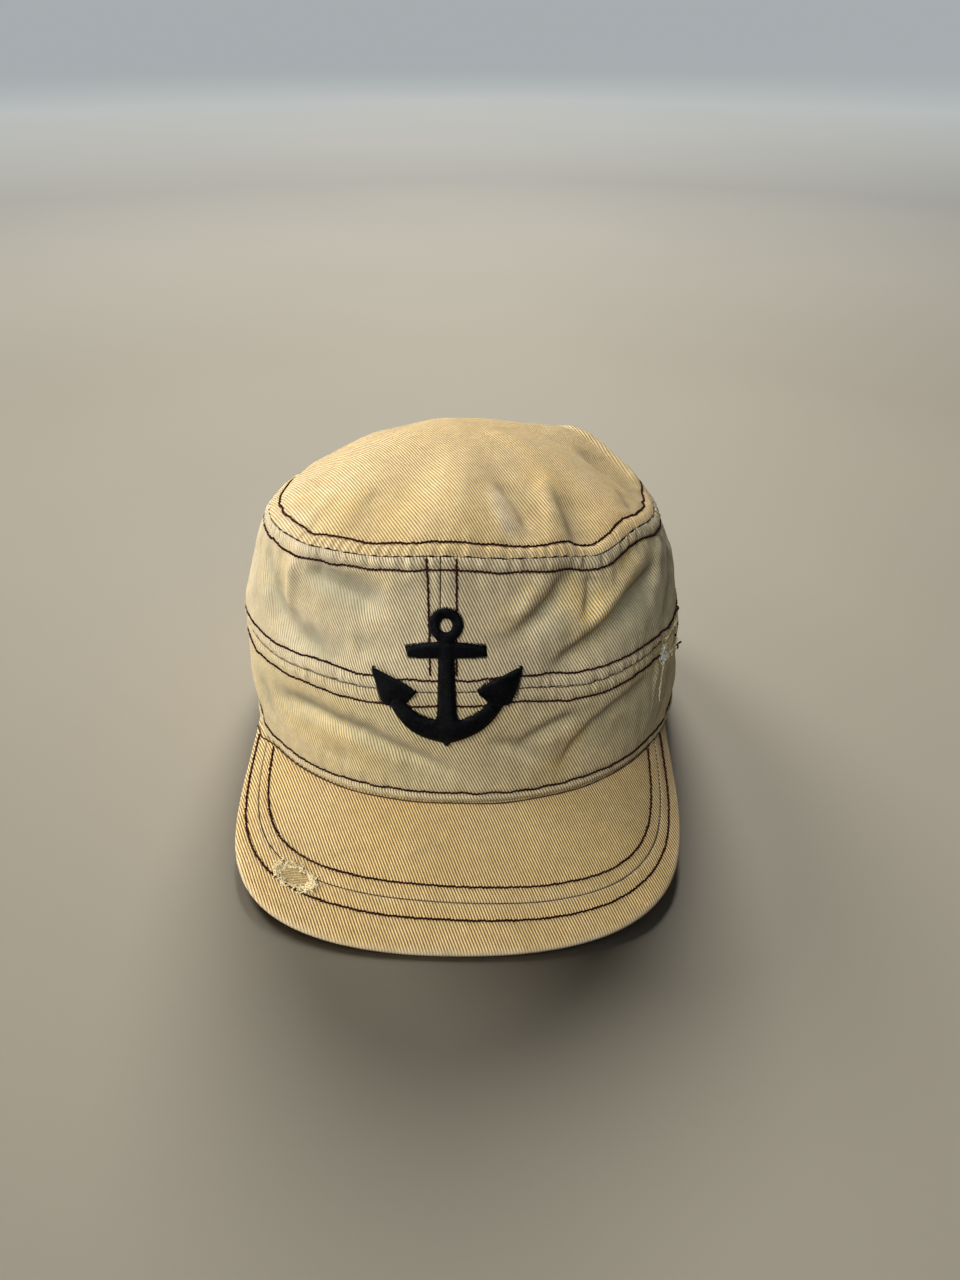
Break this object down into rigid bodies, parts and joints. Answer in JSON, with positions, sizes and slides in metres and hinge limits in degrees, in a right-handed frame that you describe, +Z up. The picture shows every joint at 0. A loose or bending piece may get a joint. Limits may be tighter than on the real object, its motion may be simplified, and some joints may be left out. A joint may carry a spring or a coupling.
{
  "type": "cadet cap",
  "caption": "Soft cotton cadet cap with a domed top panel, two side bands, a curved peak with a bordered edge and a raised front ornament, lying on its rim.",
  "frame": {"origin": "on the surface that the cap lies on, under the middle of its bounding box", "axes": "+X to the side of the cap that is on the right seen from the front, -Y the way the peak points, +Z up"},
  "size_m": [0.1799, 0.242, 0.1265],
  "materials": {
    "crown_twill": "stonewashed khaki cotton twill",
    "peak_twill": "stonewashed khaki cotton twill",
    "emblem_thread": "near-black embroidery thread"
  },
  "bodies": {
    "root": {"crown_top": "crown_twill", "upper_band_left": "crown_twill", "upper_band_right": "crown_twill", "lower_band": "crown_twill", "front_emblem": "emblem_thread", "peak_inner_panel": "peak_twill", "peak_border": "peak_twill", "peak_facing": "peak_twill"}
  },
  "joints": []
}
